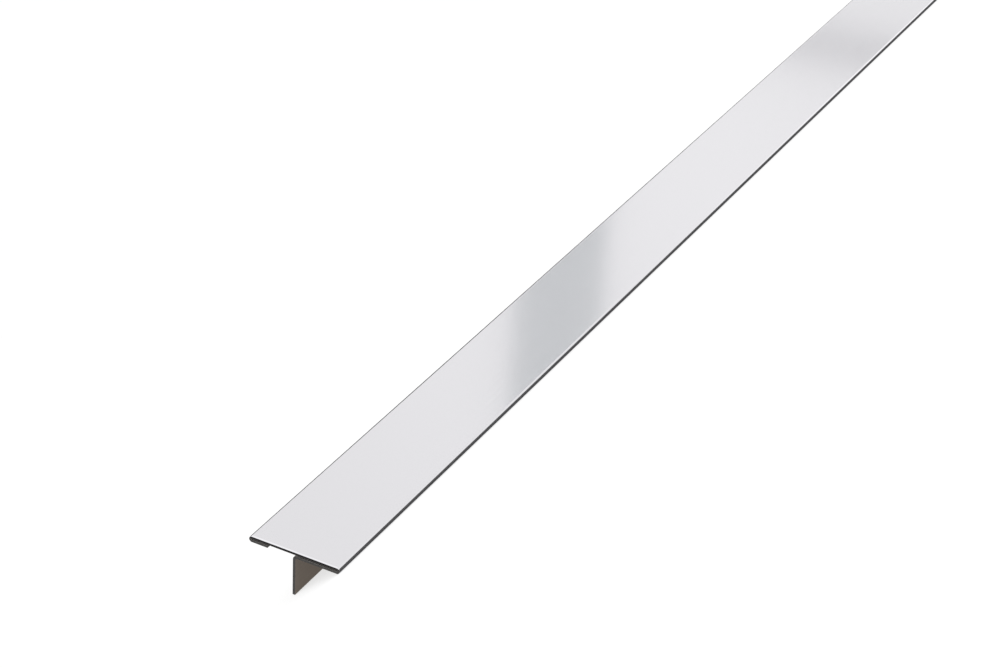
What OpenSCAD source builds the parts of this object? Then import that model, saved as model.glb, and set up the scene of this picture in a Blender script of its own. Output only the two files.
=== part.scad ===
// Stainless steel T-profile trim: one strip of sheet, folded along its length into a T.
// The strip starts as a lip under the left edge, turns over into the flat face, turns under again at
// the right edge, runs back to the middle and bends down as the web.
// It lies as it comes to rest on a level floor, on the foot of its web and on its right edge.
// X runs across the bar and Y along it. The origin is on the floor, under the middle of the bar.

/* [Section] */
// Width of the face from edge to edge
trim_w = 25; // [20:0.5:60]
// Height from the face to the foot of the web
trim_h = 12.2; // [6:0.1:40]
// Thickness of the sheet
sheet_t = 0.7; // [0.4:0.1:1]
// Distance from the left edge to the web
web_x = 12.2; // [10:0.1:14]
// Width of the lip that is folded under the left edge
lip_w = 5.2; // [2:0.1:8]

/* [Folds] */
// Space between the layers at a folded edge
fold_gap = 0.2; // [0.1:0.05:1]
// Inside radius of the bend from the face's lower layer into the web
bend_r = 0.4; // [0.1:0.05:1.5]

/* [Bar] */
// Length of the bar
trim_l = 1000; // [100:50:2500]

/* [Hidden] */
// Outside radius of a folded edge, and so half of the thickness of two layers
edge_r = sheet_t + fold_gap / 2;
// Height of the underside of the lower layer and of the lip
under_y = -2 * edge_r;
// Centre of the bend, on the web's right side
bend_x = web_x + sheet_t + bend_r;
bend_y = under_y - bend_r;
// Centre of the right fold, seen from the right corner of the web's foot
rest_x = trim_w - edge_r - (web_x + sheet_t);
rest_y = trim_h - edge_r;
// Angle at which the bar comes to rest, with that corner and the right fold on the floor
lean = atan2(rest_y, rest_x) - asin(edge_r / norm([rest_x, rest_y]));
// Middle of the face and the height at which it then lies
mid_x = trim_w / 2;
mid_z = edge_r + (mid_x - edge_r) * sin(lean);
// Room for a cut to pass the shape that it cuts
cut = 1;

$fn = 96;

// A fold that turns the sheet over, open to the right, centred on the origin
module fold() {
    difference() {
        circle(r = edge_r);
        circle(r = edge_r - sheet_t);
        translate([0, -edge_r - cut]) square([edge_r + cut, 2 * (edge_r + cut)]);
    }
}

// The quarter bend from the lower layer into the web
module bend() {
    intersection() {
        difference() {
            circle(r = bend_r + sheet_t);
            circle(r = bend_r);
        }
        translate([-bend_r - sheet_t, 0]) square(bend_r + sheet_t);
    }
}

// The section, with the left edge of the face at X 0 and the face at Y 0
module section() {
    translate([edge_r, -sheet_t]) square([trim_w - 2 * edge_r, sheet_t]);
    translate([edge_r, -edge_r]) fold();
    translate([edge_r, under_y]) square([lip_w - edge_r, sheet_t]);
    translate([trim_w - edge_r, -edge_r]) mirror([1, 0]) fold();
    translate([bend_x, under_y]) square([trim_w - edge_r - bend_x, sheet_t]);
    translate([bend_x, bend_y]) bend();
    translate([web_x, -trim_h]) square([sheet_t, trim_h + bend_y]);
}

module t_profile() {
    color("#d8d9dc")
        translate([0, 0, mid_z])
            rotate([0, lean, 0])
                translate([-mid_x, trim_l / 2, edge_r])
                    rotate([90, 0, 0])
                        linear_extrude(height = trim_l) section();
}

t_profile();
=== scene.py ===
"""Stainless steel T-profile trim: one strip of sheet, folded along its length into a T.

The bar lies on the floor on the foot of its web and on its right edge, so its face leans towards the camera.
Sizes are in metres. The section is drawn in the profile's own upright frame, X across and Z up from the
face, and is then leaned over as the bar lies.
"""

import math

import bmesh
import bpy
from mathutils import Matrix, Vector


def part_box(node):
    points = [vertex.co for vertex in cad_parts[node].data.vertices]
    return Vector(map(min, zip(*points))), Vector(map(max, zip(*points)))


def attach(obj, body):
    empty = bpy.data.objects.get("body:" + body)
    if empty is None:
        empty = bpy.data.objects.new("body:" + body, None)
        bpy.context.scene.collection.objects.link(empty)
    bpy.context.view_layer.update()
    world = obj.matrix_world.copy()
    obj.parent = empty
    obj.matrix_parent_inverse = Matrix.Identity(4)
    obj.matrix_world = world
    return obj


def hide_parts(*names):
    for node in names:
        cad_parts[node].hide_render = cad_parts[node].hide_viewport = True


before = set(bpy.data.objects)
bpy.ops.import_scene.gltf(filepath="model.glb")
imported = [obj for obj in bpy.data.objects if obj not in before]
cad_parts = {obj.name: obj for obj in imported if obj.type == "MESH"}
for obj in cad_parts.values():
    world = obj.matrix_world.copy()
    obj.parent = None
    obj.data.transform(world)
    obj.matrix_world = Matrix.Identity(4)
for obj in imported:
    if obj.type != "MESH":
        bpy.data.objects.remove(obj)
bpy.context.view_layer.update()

MM = 0.001

# The profile's sizes, as the CAD model has them
FACE_W = 25 * MM
PROFILE_H = 12.2 * MM
SHEET_T = 0.7 * MM
WEB_X = 12.2 * MM
LIP_W = 5.2 * MM
FOLD_GAP = 0.2 * MM
BEND_R = 0.4 * MM
NEAR_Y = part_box("t_profile")[0][1]
FAR_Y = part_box("t_profile")[1][1]

# Values that follow from them: the folds' outside radius, the underside's height and the bend's centre
EDGE_R = SHEET_T + FOLD_GAP / 2
UNDER_Z = -2 * EDGE_R
BEND_X = WEB_X + SHEET_T + BEND_R
BEND_Z = UNDER_Z - BEND_R

# How the bar comes to rest: on the right corner of the web's foot and on the right fold
REST_X = FACE_W - EDGE_R - (WEB_X + SHEET_T)
REST_Z = PROFILE_H - EDGE_R
LEAN = math.atan2(REST_Z, REST_X) - math.asin(EDGE_R / math.hypot(REST_X, REST_Z))
MIDDLE_Z = EDGE_R + (FACE_W / 2 - EDGE_R) * math.sin(LEAN)
WEB_FOOT_X = (WEB_X + SHEET_T - FACE_W / 2) * math.cos(LEAN) + (EDGE_R - PROFILE_H) * math.sin(LEAN)
RIGHT_FOLD_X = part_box("t_profile")[1][0] - EDGE_R

# The steps of the arcs, the rounding of the sharp edges, and the dip of the polished side towards a cut
FOLD_STEPS = 32
BEND_STEPS = 20
SHARP_ANGLE = math.radians(60)
EDGE_ROUNDING = 0.04 * MM
DIP_LENGTH = 0.6 * MM
DIP_DEPTH = 0.05 * MM
DIP_STEPS = 4

# The strip's finishes, in the order of its material slots, and how far round the folds the polish goes.
# A face counts as facing along an axis where its normal has this much of that axis.
POLISHED, MILL, SHEARED = range(3)
POLISHED_DOWN_TO_Z = 0.95 * UNDER_Z
FACING = 0.5

# Size of each finish's grain in millimetres, across, along and through the strip, and its depth.
# Real polishing lines and tears are finer, and are drawn this coarse so that they show in the render.
POLISHING_LINES_MM = (0.25, 40, 0.25)
POLISHING_LINE_DEPTH = 0.0002 * MM
ROLLED_WAVE_MM = (18, 60, 18)
ROLLED_WAVE_DEPTH = 0.004 * MM
MILL_STREAKS_MM = (0.6, 50, 0.6)
MILL_STREAK_DEPTH = 0.0015 * MM
TEARS_MM = (0.12, 0.12, 0.5)
TEAR_DEPTH = 0.01 * MM

# Roughness of the polish and of the mill finish, at their clearest and at their dullest, and of torn metal
POLISHED_ROUGHNESS = (0.07, 0.1)
MILL_ROUGHNESS = (0.34, 0.42)
SHEARED_ROUGHNESS = 0.5

# The levels between which most of a noise pattern lies
NOISE_LOW = 0.3
NOISE_HIGH = 0.7

# How far under the face a cut carries its full painted shade, and where that painted shade has faded into
# the torn metal's own tone
PAINTED_SHADE_FULL_TO_MM = 0.35
PAINTED_SHADE_GONE_BY_MM = 0.6
FACE_LEVEL_MM = (EDGE_R + MIDDLE_Z * math.cos(LEAN)) / MM

# The camera, solved from the straight edges of the bar in the photograph
CAMERA_AT = Vector((0.41423, -0.89502, 0.09202))
CAMERA_LOOKS_AT = Vector((-0.02779, -0.35852, 0.00964))
CAMERA_ROLL = math.radians(-33.976)
CAMERA_LENS_MM = 88.84
CAMERA_SENSOR_MM = 36
CAMERA_CLIP_START = 0.01

# The light of the white dome, and its level at four heights, which are sines of angles above the horizon
DOME_LIGHT = 0.95
DOME_BELT = ((0.45, 1.01), (0.55, 1.06), (0.64, 1.03), (0.76, 0.97))

# The white paper of the floor, how far it is lifted where it is seen, and to which level
FLOOR_RADIUS = 12
PAPER_LIFT = 0.62
PAPER_GLOW = 1.15

# The point of the bar that the hung cards and the lamps are turned to
NEAR_PART = Vector((0, -0.36, 0.009))

# Cards hung in the air for the steel to mirror: place, width, height, turn in degrees and colour.
# In this order they give the wide grey band across the face, the fainter band further along, the grey line
# along the left fold, and the upper part of the dark line along the right fold.
HUNG_CARDS = {
    "first_grey_card": ((0.186, 1.576, 1.571), 0.9, 0.114, -37.5, "#e7eaeb"),
    "second_grey_card": ((0.1552, 2.0293, 1.2294), 0.9, 0.044, 41.5, "#dfdfe1"),
    "left_dark_card": ((-1.3, 1.6, 1.0), 1.5, 1.9, 0, "#585858"),
    "low_dark_card": ((1.1, 1.4, 0.1), 1.7, 0.2, 0, "#626262"),
}

# Cards laid just above the floor along the bar: where they start and end across it, colour and glow.
# In this order they give the warm, dark tone of the web, and the grey foot and the dark middle of the line
# along the right fold.
PALE_CARD_END_X = RIGHT_FOLD_X + 0.45 * MM
DARK_CARD_END_X = RIGHT_FOLD_X + 1
FLOOR_CARDS = {
    "tunnel_card": (WEB_FOOT_X, RIGHT_FOLD_X, "#867f79", 0.93),
    "edge_pale_card": (RIGHT_FOLD_X, PALE_CARD_END_X, "#b0b0b0", 0.9),
    "edge_dark_card": (PALE_CARD_END_X, DARK_CARD_END_X, "#666666", 0),
}
FLOOR_CARD_LIFT = 0.02 * MM

# Soft lamps: place, side and radiance.
# In this order they give the bright hairline along the near cut and the highlight along the right fold.
SOFTBOXES = {
    "overhead_softbox": ((0.13, 0.70, 1.93), 0.75, 0.22),
    "right_back_softbox": ((0.726, 2.134, 0.855), 0.9, 0.25),
}


def linear(hex_colour):
    """An sRGB hex colour as the linear values that shaders take."""
    parts = [int(hex_colour[i : i + 2], 16) / 255 for i in (1, 3, 5)]
    return [p / 12.92 if p <= 0.04045 else ((p + 0.055) / 1.055) ** 2.4 for p in parts] + [1]


def add(tree, kind, links=None, **settings):
    """Adds a shader node, sets its sockets and properties by name, and links its inputs."""
    node = tree.nodes.new(kind)
    for name, value in settings.items():
        setattr(node, name, value)
    for socket, source in (links or {}).items():
        if isinstance(source, bpy.types.NodeSocket):
            tree.links.new(source, node.inputs[socket])
        else:
            node.inputs[socket].default_value = source
    return node


def new_material(name):
    """An empty node material and its output node."""
    material = bpy.data.materials.new(name)
    material.use_nodes = True
    tree = material.node_tree
    tree.nodes.clear()
    return material, tree, add(tree, "ShaderNodeOutputMaterial")


def along_strip(tree, grain_mm=(1, 1, 1)):
    """Object coordinates turned to the profile's upright frame and scaled to a grain of this size, so that
    they are in millimetres where no grain is given."""
    place = add(tree, "ShaderNodeTexCoord")
    upright = add(
        tree,
        "ShaderNodeMapping",
        {"Vector": place.outputs["Object"], "Rotation": (0, -LEAN, 0)},
    )
    scale = [1 / (size * MM) for size in grain_mm]
    return add(tree, "ShaderNodeMapping", {"Vector": upright.outputs[0], "Scale": scale}).outputs[0]


def tone_between(ramp, dark, light):
    """Runs a ramp from one colour to the other over the levels that a noise pattern takes."""
    for stop, level, colour in zip(ramp.elements, (NOISE_LOW, NOISE_HIGH), (dark, light)):
        stop.position = level
        stop.color = linear(colour)


def polished_stainless():
    """Stainless steel 304, mill-polished on the show side: a clear, slightly soft mirror with a cool tint.
    Polishing runs lengthwise and leaves hair-fine lines, and rolling leaves a long, very shallow wave."""
    material, tree, output = new_material("polished_stainless_304")
    lines = add(
        tree,
        "ShaderNodeTexNoise",
        {"Vector": along_strip(tree, POLISHING_LINES_MM), "Scale": 1, "Detail": 3, "Roughness": 0.6},
    )
    wave = add(
        tree,
        "ShaderNodeTexNoise",
        {"Vector": along_strip(tree, ROLLED_WAVE_MM), "Scale": 1, "Detail": 1, "Roughness": 0.4},
    )
    haze = add(
        tree,
        "ShaderNodeMapRange",
        {
            "Value": lines.outputs["Fac"],
            "From Min": NOISE_LOW,
            "From Max": NOISE_HIGH,
            "To Min": POLISHED_ROUGHNESS[0],
            "To Max": POLISHED_ROUGHNESS[1],
        },
    )
    rolled = add(
        tree,
        "ShaderNodeBump",
        {"Height": wave.outputs["Fac"], "Strength": 1, "Distance": ROLLED_WAVE_DEPTH},
    )
    brushed = add(
        tree,
        "ShaderNodeBump",
        {
            "Height": lines.outputs["Fac"],
            "Strength": 1,
            "Distance": POLISHING_LINE_DEPTH,
            "Normal": rolled.outputs[0],
        },
    )
    steel = add(
        tree,
        "ShaderNodeBsdfPrincipled",
        {
            "Base Color": linear("#e2e1e4"),
            "Metallic": 1,
            "Roughness": haze.outputs[0],
            "Normal": brushed.outputs[0],
        },
    )
    tree.links.new(steel.outputs[0], output.inputs["Surface"])
    return material


def mill_finish_stainless():
    """Stainless steel 304 as it leaves the mill: a dull, warmer grey with streaks along the roll."""
    material, tree, output = new_material("mill_finish_stainless_304")
    streaks = add(
        tree,
        "ShaderNodeTexNoise",
        {"Vector": along_strip(tree, MILL_STREAKS_MM), "Scale": 1, "Detail": 4, "Roughness": 0.55},
    )
    tone = add(tree, "ShaderNodeValToRGB", {"Fac": streaks.outputs["Fac"]})
    tone_between(tone.color_ramp, "#aaa6a1", "#bab6b1")
    dull = add(
        tree,
        "ShaderNodeMapRange",
        {
            "Value": streaks.outputs["Fac"],
            "From Min": NOISE_LOW,
            "From Max": NOISE_HIGH,
            "To Min": MILL_ROUGHNESS[0],
            "To Max": MILL_ROUGHNESS[1],
        },
    )
    rolled = add(
        tree,
        "ShaderNodeBump",
        {"Height": streaks.outputs["Fac"], "Strength": 1, "Distance": MILL_STREAK_DEPTH},
    )
    steel = add(
        tree,
        "ShaderNodeBsdfPrincipled",
        {
            "Base Color": tone.outputs[0],
            "Metallic": 1,
            "Roughness": dull.outputs[0],
            "Normal": rolled.outputs[0],
        },
    )
    tree.links.new(steel.outputs[0], output.inputs["Surface"])
    return material


def sheared_stainless():
    """A sheared edge of stainless steel 304: dark, torn metal, with painted shade that makes a band of the
    cut just under the face darker still."""
    material, tree, output = new_material("sheared_stainless_304")
    tears = add(
        tree,
        "ShaderNodeTexNoise",
        {"Vector": along_strip(tree, TEARS_MM), "Scale": 1, "Detail": 3, "Roughness": 0.6},
    )
    torn_tone = add(tree, "ShaderNodeValToRGB", {"Fac": tears.outputs["Fac"]})
    tone_between(torn_tone.color_ramp, "#464544", "#565453")
    height = add(tree, "ShaderNodeSeparateXYZ", {"Vector": along_strip(tree)})
    # Painted shade: a band of the cut just under the face is painted near black (#1c1b1b), fading into the
    # torn metal's tone further down
    painted_shade_band = add(
        tree,
        "ShaderNodeMapRange",
        {
            "Value": height.outputs["Z"],
            "From Min": FACE_LEVEL_MM - PAINTED_SHADE_GONE_BY_MM,
            "From Max": FACE_LEVEL_MM - PAINTED_SHADE_FULL_TO_MM,
        },
    )
    # Of a colour mix, inputs 6 and 7 are the two colours and output 2 is the mixed one
    tone = add(
        tree,
        "ShaderNodeMix",
        {"Factor": painted_shade_band.outputs[0], 6: torn_tone.outputs[0], 7: linear("#1c1b1b")},
        data_type="RGBA",
    )
    torn = add(
        tree,
        "ShaderNodeBump",
        {"Height": tears.outputs["Fac"], "Strength": 1, "Distance": TEAR_DEPTH},
    )
    steel = add(
        tree,
        "ShaderNodeBsdfPrincipled",
        {
            "Base Color": tone.outputs[2],
            "Metallic": 1,
            "Roughness": SHEARED_ROUGHNESS,
            "Normal": torn.outputs[0],
        },
    )
    tree.links.new(steel.outputs[0], output.inputs["Surface"])
    return material


def seen_or_mirrored(tree):
    """1 where the camera sees a thing, also in metal or through glass, and 0 where it only lights others."""
    light = add(tree, "ShaderNodeLightPath")
    seen = light.outputs["Is Camera Ray"]
    for name in ("Is Glossy Ray", "Is Transmission Ray"):
        seen = add(tree, "ShaderNodeMath", {0: seen, 1: light.outputs[name]}, operation="MAXIMUM").outputs[0]
    return seen


def floor_paper():
    """Matt white studio paper, lifted where it is seen, so that it stays white around a soft shadow."""
    material, tree, output = new_material("studio_paper")
    paper = add(tree, "ShaderNodeBsdfDiffuse", {"Color": linear("#f6f6f6")})
    glow = add(tree, "ShaderNodeEmission", {"Color": (1, 1, 1, 1), "Strength": PAPER_GLOW})
    lift = add(tree, "ShaderNodeMath", {0: seen_or_mirrored(tree), 1: PAPER_LIFT}, operation="MULTIPLY")
    both = add(
        tree,
        "ShaderNodeMixShader",
        {"Fac": lift.outputs[0], 1: paper.outputs[0], 2: glow.outputs[0]},
    )
    tree.links.new(both.outputs[0], output.inputs["Surface"])
    return material


def card_board(name, hex_colour, glow):
    """Matt board of one colour, which also glows in that colour where glow is over 0."""
    material, tree, output = new_material(name)
    board = add(tree, "ShaderNodeBsdfDiffuse", {"Color": linear(hex_colour)})
    light = add(tree, "ShaderNodeEmission", {"Color": linear(hex_colour), "Strength": glow})
    both = add(tree, "ShaderNodeAddShader", {0: board.outputs[0], 1: light.outputs[0]})
    tree.links.new(both.outputs[0], output.inputs["Surface"])
    return material


def mesh_object(name, bm, materials):
    """Turns a bmesh into an object at the origin with these materials."""
    mesh = bpy.data.meshes.new(name)
    bm.to_mesh(mesh)
    bm.free()
    for material in materials:
        mesh.materials.append(material)
    piece = bpy.data.objects.new(name, mesh)
    bpy.context.collection.objects.link(piece)
    return piece


def straight_to(bm, vert, x, z):
    """Runs the strip straight on from its last point to x, z."""
    new = bmesh.ops.extrude_vert_indiv(bm, verts=[vert])["verts"][0]
    new.co = Vector((x, vert.co.y, z))
    return new


def fold_about(bm, vert, x, z, turn, steps):
    """Bends the strip on from its last point, about the line at x, z."""
    made = bmesh.ops.spin(
        bm,
        geom=[vert],
        cent=(x, 0, z),
        axis=(0, 1, 0),
        angle=turn,
        steps=steps,
        use_duplicate=False,
    )
    return next(item for item in made["geom_last"] if isinstance(item, bmesh.types.BMVert))


def folded_strip():
    """The outer surface of the strip from its lip to the foot of its web, folded up and drawn along the bar,
    with the face pointing up."""
    bm = bmesh.new()
    end = bm.verts.new((LIP_W, NEAR_Y, UNDER_Z))
    end = straight_to(bm, end, EDGE_R, UNDER_Z)
    end = fold_about(bm, end, EDGE_R, -EDGE_R, math.pi, FOLD_STEPS)
    end = straight_to(bm, end, FACE_W - EDGE_R, 0)
    end = fold_about(bm, end, FACE_W - EDGE_R, -EDGE_R, math.pi, FOLD_STEPS)
    end = straight_to(bm, end, BEND_X, UNDER_Z)
    end = fold_about(bm, end, BEND_X, BEND_Z, -math.pi / 2, BEND_STEPS)
    straight_to(bm, end, WEB_X + SHEET_T, -PROFILE_H)
    drawn = bmesh.ops.extrude_edge_only(bm, edges=bm.edges[:])["geom"]
    far = [item for item in drawn if isinstance(item, bmesh.types.BMVert)]
    bmesh.ops.translate(bm, verts=far, vec=(0, FAR_Y - NEAR_Y, 0))
    face = max(bm.faces, key=lambda f: f.calc_center_median().z)
    if face.normal.z < 0:
        bmesh.ops.reverse_faces(bm, faces=bm.faces[:])
    return bm


def give_finishes(bm, outer):
    """Gives each face of the thick strip its finish: sheared on the cuts, the lip's edge and the web's foot,
    polished where the outer surface is the face or goes round a fold, and mill finish elsewhere."""
    for f in bm.faces:
        middle = f.calc_center_median()
        cut = abs(f.normal.y) > FACING
        lip_edge = f.normal.x > FACING and abs(middle.x - LIP_W) < EDGE_ROUNDING
        web_foot = f.normal.z < -FACING and abs(middle.z + PROFILE_H) < EDGE_ROUNDING
        if cut or lip_edge or web_foot:
            f.material_index = SHEARED
        elif f in outer and middle.z > POLISHED_DOWN_TO_Z:
            f.material_index = POLISHED
        else:
            f.material_index = MILL


def dip_towards_cuts(bm):
    """Lowers the polished side a little towards each cut, as the shear drags it."""
    for step in range(DIP_STEPS):
        inset = DIP_LENGTH * (step + 1) / DIP_STEPS
        for y in (NEAR_Y + inset, FAR_Y - inset):
            geom = bm.verts[:] + bm.edges[:] + bm.faces[:]
            bmesh.ops.bisect_plane(bm, geom=geom, plane_co=(0, y, 0), plane_no=(0, 1, 0))
    moves = []
    for vert in bm.verts:
        normals = [f.normal for f in vert.link_faces if f.material_index == POLISHED]
        inset = min(vert.co.y - NEAR_Y, FAR_Y - vert.co.y)
        if normals and inset < DIP_LENGTH:
            out = sum(normals, Vector()).normalized()
            moves.append((vert, out * DIP_DEPTH * (1 - inset / DIP_LENGTH) ** 2))
    for vert, move in moves:
        vert.co -= move


def round_sharp_edges(bm):
    """Takes the sharpness off the edges of the cuts, the lip and the web's foot."""
    sharp = [e for e in bm.edges if len(e.link_faces) == 2 and e.calc_face_angle() > SHARP_ANGLE]
    bmesh.ops.bevel(
        bm,
        geom=sharp,
        offset=EDGE_ROUNDING,
        offset_type="OFFSET",
        affect="EDGES",
        segments=3,
        profile=0.5,
        material=-1,
    )


def lay_down(bm):
    """Leans the upright profile over and sets it on the floor, as the bar comes to rest."""
    place = (
        Matrix.Translation((0, 0, MIDDLE_Z))
        @ Matrix.Rotation(LEAN, 4, "Y")
        @ Matrix.Translation((-FACE_W / 2, 0, EDGE_R))
    )
    bmesh.ops.transform(bm, matrix=place, verts=bm.verts)


def t_profile():
    """The whole bar: the folded strip with its thickness, its finishes and its rounded edges."""
    bm = folded_strip()
    outer = bm.faces[:]
    bmesh.ops.solidify(bm, geom=outer, thickness=SHEET_T)
    bm.normal_update()
    give_finishes(bm, outer)
    dip_towards_cuts(bm)
    round_sharp_edges(bm)
    lay_down(bm)
    for f in bm.faces:
        f.smooth = True
    finishes = [polished_stainless(), mill_finish_stainless(), sheared_stainless()]
    piece = mesh_object("folded_t_strip", bm, finishes)
    piece.modifiers.new("even_shading", "WEIGHTED_NORMAL")
    return piece


def turned_to(at, target, roll=0.0):
    """The place of a camera, lamp or card that looks at a target, turned about its line of sight."""
    turn = (target - at).to_track_quat("-Z", "Y").to_matrix().to_4x4()
    return Matrix.Translation(at) @ turn @ Matrix.Rotation(roll, 4, "Z")


def photo_camera():
    """The camera at the photograph's viewing angle."""
    data = bpy.data.cameras.new("camera")
    data.lens = CAMERA_LENS_MM
    data.sensor_width = CAMERA_SENSOR_MM
    data.clip_start = CAMERA_CLIP_START
    camera = bpy.data.objects.new("camera", data)
    bpy.context.collection.objects.link(camera)
    camera.matrix_world = turned_to(CAMERA_AT, CAMERA_LOOKS_AT, CAMERA_ROLL)
    bpy.context.scene.camera = camera


def studio_floor():
    """A wide sheet of white paper that the bar lies on."""
    bm = bmesh.new()
    bmesh.ops.create_circle(bm, cap_ends=True, radius=FLOOR_RADIUS, segments=64)
    floor = mesh_object("studio_floor", bm, [floor_paper()])


def mirrored_card(name, width, height, place, hex_colour, glow):
    """A board that the steel mirrors. The camera doesn't see it, and it casts no shadow."""
    bm = bmesh.new()
    # The grid's size is half its side, so it starts as a square metre
    bmesh.ops.create_grid(bm, x_segments=1, y_segments=1, size=0.5)
    bmesh.ops.scale(bm, vec=(width, height, 1), verts=bm.verts)
    bmesh.ops.transform(bm, matrix=place, verts=bm.verts)
    card = mesh_object(name, bm, [card_board(name + "_board", hex_colour, glow)])
    card.visible_camera = False
    card.visible_diffuse = False
    card.visible_shadow = False


def studio_cards():
    """The boards in the air and at the floor that give the steel its grey bands, lines and tones."""
    for name, (at, width, height, roll, hex_colour) in HUNG_CARDS.items():
        place = turned_to(Vector(at), NEAR_PART, math.radians(roll))
        mirrored_card(name, width, height, place, hex_colour, 0)
    for name, (start_x, end_x, hex_colour, glow) in FLOOR_CARDS.items():
        place = Matrix.Translation(((start_x + end_x) / 2, 0, FLOOR_CARD_LIFT))
        mirrored_card(name, end_x - start_x, FAR_Y - NEAR_Y, place, hex_colour, glow)


def soft_lamps():
    """Square soft lights, which the camera doesn't see."""
    for name, (at, side, radiance) in SOFTBOXES.items():
        data = bpy.data.lights.new(name, "AREA")
        data.shape = "SQUARE"
        data.size = side
        data.energy = radiance * math.pi * side * side
        lamp = bpy.data.objects.new(name, data)
        bpy.context.collection.objects.link(lamp)
        lamp.visible_camera = False
        lamp.matrix_world = turned_to(Vector(at), NEAR_PART)


def white_world():
    """A white dome, a little brighter in a belt a third of the way up. It is seen as white all over."""
    world = bpy.data.worlds.new("white_dome")
    world.use_nodes = True
    tree = world.node_tree
    tree.nodes.clear()
    place = add(tree, "ShaderNodeTexCoord")
    height = add(tree, "ShaderNodeSeparateXYZ", {"Vector": place.outputs["Generated"]})
    belt = add(tree, "ShaderNodeValToRGB", {"Fac": height.outputs["Z"]})
    belt.color_ramp.interpolation = "EASE"
    stops = belt.color_ramp.elements
    stops[0].position = DOME_BELT[0][0]
    stops[-1].position = DOME_BELT[-1][0]
    for sine, _ in DOME_BELT[1:-1]:
        stops.new(sine)
    for stop, (_, level) in zip(stops, DOME_BELT):
        stop.color = (level, level, level, 1)
    strength = add(
        tree,
        "ShaderNodeMath",
        {0: seen_or_mirrored(tree), 1: 1 - DOME_LIGHT, 2: DOME_LIGHT},
        operation="MULTIPLY_ADD",
    )
    dome = add(tree, "ShaderNodeBackground", {"Color": belt.outputs[0], "Strength": strength.outputs[0]})
    output = add(tree, "ShaderNodeOutputWorld")
    tree.links.new(dome.outputs[0], output.inputs["Surface"])
    bpy.context.scene.world = world


photo_camera()
bar = t_profile()
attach(bar, "root")
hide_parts("t_profile")
studio_floor()
white_world()
studio_cards()
soft_lamps()
bpy.context.scene.view_settings.view_transform = "Standard"
